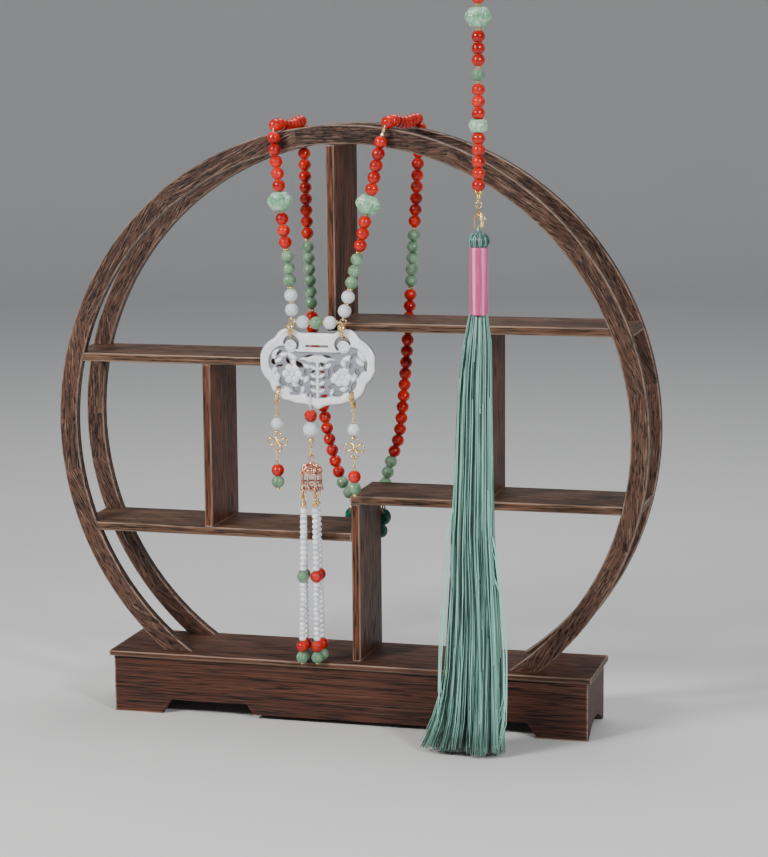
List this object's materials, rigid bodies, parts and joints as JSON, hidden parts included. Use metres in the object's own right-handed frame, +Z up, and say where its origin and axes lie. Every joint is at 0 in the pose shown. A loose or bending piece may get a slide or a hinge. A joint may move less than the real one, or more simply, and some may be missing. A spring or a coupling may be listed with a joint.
{
  "type": "tassel necklace on a round wooden display stand",
  "caption": "Bead string necklace with a carved lock pendant, bead fringe and silk tassel strand, hung over a round wooden shelf stand.",
  "frame": {"origin": "on the floor under the middle of the bounding box", "axes": "+X to the right along the base, +Y to the back away from the viewer, +Z up"},
  "size_m": [0.36, 0.1179, 0.4401],
  "materials": {
    "wood": "dark stained open-grain wood, oiled",
    "thread": "plain beading thread",
    "carnelian": null,
    "aventurine": null,
    "white_jade": "polished white jade",
    "pale_jade": "polished pale green carved jade",
    "gold": "champagne gold plating, polished",
    "teal_jade": "polished dark teal carved jade",
    "lock_jade": "polished carved white jade",
    "rose_gold": "rose gold plating, polished",
    "seed": "small polished jade rondelles",
    "silk": "lustrous silk thread",
    "satin": "satin thread winding"
  },
  "bodies": {
    "stand": {"hoop_front": "wood", "hoop_back": "wood", "base_board": "wood", "base_box": "wood", "shelf_left_upper": "wood", "shelf_left_lower": "wood", "shelf_right_upper": "wood", "shelf_right_lower": "wood", "post_top": "wood", "post_left": "wood", "post_right": "wood", "post_centre": "wood", "thread_left": "thread", "thread_right": "thread", "thread_cross": "thread", "carnelians_left_front": "carnelian", "carnelians_left_rear": "carnelian", "carnelians_right_front": "carnelian", "carnelians_right_rear": "carnelian", "aventurines_left_front": "aventurine", "aventurines_left_rear": "aventurine", "aventurines_right_front": "aventurine", "aventurines_right_rear": "aventurine", "aventurine_cross": "aventurine", "jades_left": "white_jade", "jades_right": "white_jade", "jades_cross": "white_jade", "lotus_left": "pale_jade", "lotus_right": "pale_jade", "spacers_left": "gold", "spacers_right": "gold", "clasp_left": "gold", "clasp_right": "gold", "jump_ring_left": "gold", "jump_ring_right": "gold", "back_pendant": "teal_jade", "back_rings": "gold", "strand_thread": "thread", "strand_carnelians": "carnelian", "strand_jades": "pale_jade", "strand_aventurine": "aventurine", "strand_findings": "gold", "tassel_silk": "silk", "tassel_wrap": "satin"},
    "lock": {"lock": "lock_jade", "chain_drop_left": "gold", "chain_drop_right": "gold", "clover_left": "gold", "clover_right": "gold", "side_drop_jades": "white_jade", "side_drop_carnelians": "carnelian", "side_drop_aventurines": "aventurine", "fringe_thread": "thread", "fringe_carnelians": "carnelian", "fringe_aventurines": "aventurine", "fringe_jade": "white_jade", "fringe_findings": "gold", "bell_cap": "rose_gold", "fringe_strings": "seed"}
  },
  "joints": [
    {"name": "lock_swing", "type": "hinge", "parent": "stand", "child": "lock", "pos_m": [-0.0145, -0.0039, 0.2369], "axis": [-1, 0, 0], "range_deg": [0, 20]}
  ]
}
